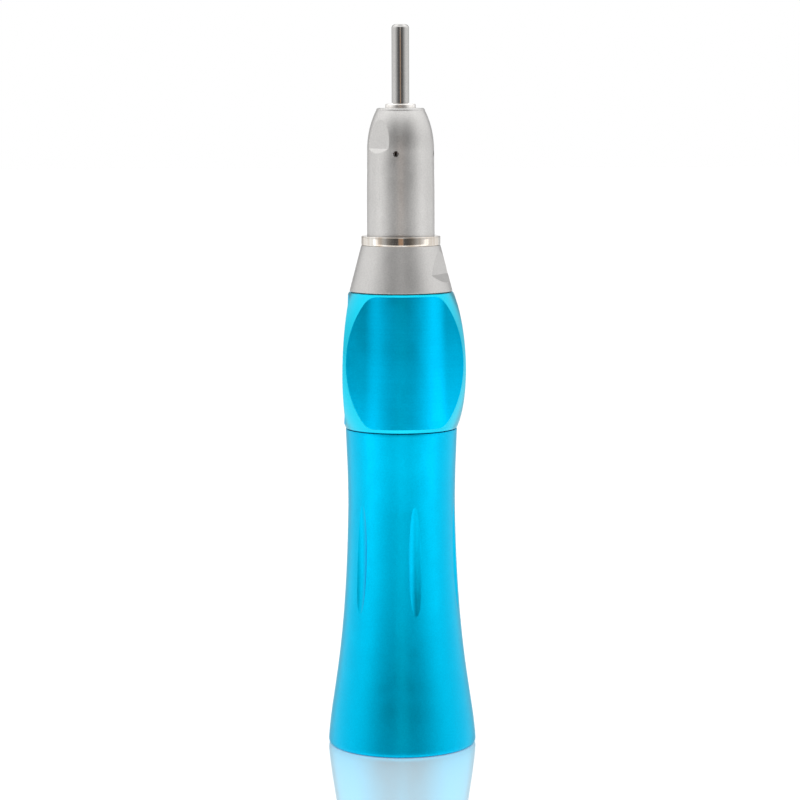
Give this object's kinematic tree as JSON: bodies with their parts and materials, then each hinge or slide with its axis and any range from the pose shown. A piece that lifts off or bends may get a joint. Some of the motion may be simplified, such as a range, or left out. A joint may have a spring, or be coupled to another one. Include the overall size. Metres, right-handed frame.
{
  "type": "straight dental handpiece",
  "caption": "Slim straight dental handpiece with a waisted grip, a three-facet twist ring that opens the chuck, a stepped metal nose and a plain straight bur.",
  "frame": {"origin": "centre of the rear rim, on the plane that the rim rests on", "axes": "+Z along the spindle from the motor socket to the bur; -Y towards the facet of the twist ring that faces front"},
  "size_m": [0.0202, 0.0202, 0.0979],
  "materials": {
    "sleeve_blue": "satin blue anodised",
    "ring_blue": "brushed blue anodised",
    "blasted_steel": "bead blasted, matte",
    "polished_nickel": "polished nickel",
    "polished_steel": "polished",
    "shank_steel": "ground and polished",
    "turned_steel": "turned",
    "hardened_steel": "ground",
    "spring_steel": "drawn wire",
    "bearing_steel": "lapped",
    "cage_polymer": "moulded phenolic",
    "seal_rubber": "matte"
  },
  "bodies": {
    "handpiece_body": {"grip_sleeve": "sleeve_blue", "coupling_socket": "turned_steel", "inner_barrel": "turned_steel", "sleeve_o_ring": "seal_rubber", "ring_o_ring": "seal_rubber", "stop_pin": "hardened_steel", "taper_collar": "blasted_steel", "lock_ring": "polished_nickel", "nose_sheath": "blasted_steel", "nose_seal": "seal_rubber", "outer_race_spacer": "turned_steel", "preload_washer": "spring_steel", "front_bearing_nut": "turned_steel", "rear_bearing_nut": "turned_steel", "rear_outer_race": "bearing_steel", "middle_outer_race": "bearing_steel", "front_outer_race": "bearing_steel"},
    "twist_ring": {"twist_ring": "ring_blue"},
    "chuck_slider": {"chuck_slider": "turned_steel", "drive_pins": "hardened_steel"},
    "spindle": {"spindle": "polished_steel", "spindle_nut": "turned_steel", "spindle_spacer": "turned_steel", "inner_race_spacer": "turned_steel", "spindle_circlip": "spring_steel", "chuck_spring": "spring_steel", "dog_pin": "hardened_steel", "dog_spring": "spring_steel", "rear_inner_race": "bearing_steel", "middle_inner_race": "bearing_steel", "front_inner_race": "bearing_steel"},
    "collet": {"collet": "polished_steel", "thrust_collar": "turned_steel", "drawbar_pin": "hardened_steel"},
    "dummy_bur": {"dummy_bur": "shank_steel"},
    "drive_dog": {"drive_dog": "hardened_steel"},
    "rear_ball_set": {"rear_balls": "bearing_steel", "rear_ball_cage": "cage_polymer"},
    "middle_ball_set": {"middle_balls": "bearing_steel", "middle_ball_cage": "cage_polymer"},
    "front_ball_set": {"front_balls": "bearing_steel", "front_ball_cage": "cage_polymer"}
  },
  "joints": [
    {"name": "twist_ring_turn", "type": "hinge", "parent": "handpiece_body", "child": "twist_ring", "pos_m": [0, 0, 0.05285], "axis": [0, 0, 1], "range_deg": [0, 45]},
    {"name": "chuck_slider_lift", "type": "slide", "parent": "twist_ring", "child": "chuck_slider", "axis": [0, 0, 1], "range_m": [0, 0.0008]},
    {"name": "spindle_spin", "type": "hinge", "parent": "handpiece_body", "child": "spindle", "pos_m": [0, 0, 0.06], "axis": [0, 0, 1], "continuous": true},
    {"name": "collet_open", "type": "slide", "parent": "spindle", "child": "collet", "axis": [0, 0, 1], "range_m": [0, 0.0008], "deforming": ["chuck_spring"]},
    {"name": "bur_pull_out", "type": "slide", "parent": "collet", "child": "dummy_bur", "axis": [0, 0, 1], "range_m": [0, 0.034]},
    {"name": "drive_dog_press", "type": "slide", "parent": "spindle", "child": "drive_dog", "axis": [0, 0, 1], "range_m": [0, 0.0015], "stiffness_N_per_m": 600, "springref_m": -0.0005, "deforming": ["dog_spring"]},
    {"name": "rear_ball_set_roll", "type": "hinge", "parent": "handpiece_body", "child": "rear_ball_set", "pos_m": [0, 0, 0.037], "axis": [0, 0, 1], "continuous": true},
    {"name": "middle_ball_set_roll", "type": "hinge", "parent": "handpiece_body", "child": "middle_ball_set", "pos_m": [0, 0, 0.078], "axis": [0, 0, 1], "continuous": true},
    {"name": "front_ball_set_roll", "type": "hinge", "parent": "handpiece_body", "child": "front_ball_set", "pos_m": [0, 0, 0.083], "axis": [0, 0, 1], "continuous": true}
  ],
  "couplings": [
    {"joint": "chuck_slider_lift", "follows": "twist_ring_turn", "m_per_rad": 0.0010186},
    {"joint": "collet_open", "follows": "twist_ring_turn", "m_per_rad": 0.0010186},
    {"joint": "rear_ball_set_roll", "follows": "spindle_spin", "ratio": 0.40909},
    {"joint": "middle_ball_set_roll", "follows": "spindle_spin", "ratio": 0.40909},
    {"joint": "front_ball_set_roll", "follows": "spindle_spin", "ratio": 0.40909}
  ]
}
